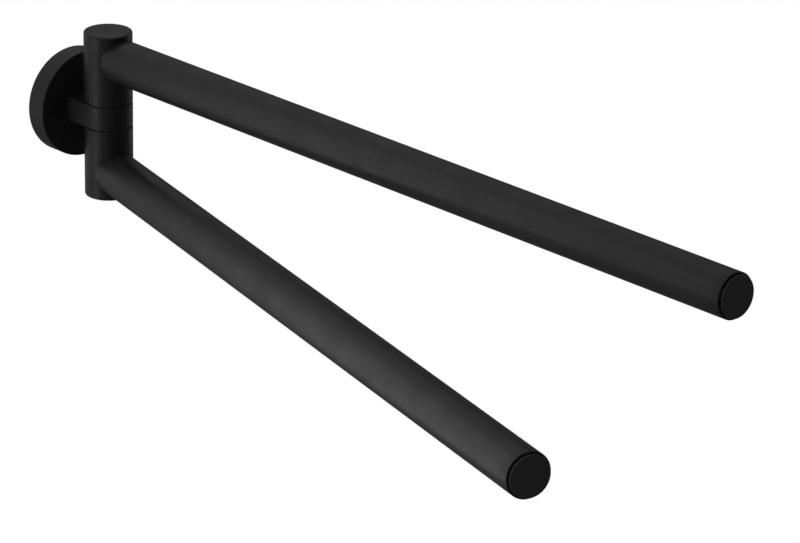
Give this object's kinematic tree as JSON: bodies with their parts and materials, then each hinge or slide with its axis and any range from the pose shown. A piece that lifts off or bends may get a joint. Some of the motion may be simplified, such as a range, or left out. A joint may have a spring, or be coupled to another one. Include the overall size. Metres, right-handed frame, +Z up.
{
  "type": "towel holder",
  "caption": "Wall-mounted towel holder: round rosette, short bracket arm and pivot with an upper and a lower towel bar that swivel separately.",
  "frame": {"origin": "centre of the wall plate's back face, on the wall plane", "axes": "+Y into the wall, so the holder stands out towards -Y; +Z up; +X to the right of someone facing the wall"},
  "size_m": [0.1311, 0.4158, 0.0772],
  "materials": {
    "black_powder_coat": "matt black powder coat with a fine, soft grain",
    "black_nylon": "matt black moulded nylon",
    "zinc_plated_steel": "bright zinc plate over turned steel",
    "turned_aluminium": "bare turned aluminium"
  },
  "bodies": {
    "bracket": {"wall_plate": "zinc_plated_steel", "rosette": "black_powder_coat", "rosette_grub_screw": "zinc_plated_steel", "bracket_arm": "black_powder_coat", "bracket_screws": "zinc_plated_steel", "bracket_lock_washers": "zinc_plated_steel", "upper_bush": "black_nylon", "lower_bush": "black_nylon"},
    "upper_arm": {"upper_hub": "black_powder_coat", "pivot_bolt": "zinc_plated_steel", "disc_spring": "zinc_plated_steel", "thrust_washer": "black_nylon", "upper_bar": "black_powder_coat", "upper_bar_insert": "turned_aluminium", "upper_bar_stud": "zinc_plated_steel", "upper_end_cap": "black_nylon"},
    "lower_arm": {"lower_hub": "black_powder_coat", "hub_plug": "black_nylon", "lower_bar": "black_powder_coat", "lower_bar_insert": "turned_aluminium", "lower_bar_stud": "zinc_plated_steel", "lower_end_cap": "black_nylon"}
  },
  "joints": [
    {"name": "upper_arm_swivel", "type": "hinge", "parent": "bracket", "child": "upper_arm", "pos_m": [0, -0.0268, 0.00595], "axis": [0, 0, 1], "range_deg": [-90.25, 89.75]},
    {"name": "lower_arm_swivel", "type": "hinge", "parent": "bracket", "child": "lower_arm", "pos_m": [0, -0.0268, -0.00595], "axis": [0, 0, 1], "range_deg": [-75.5, 104.5]}
  ]
}
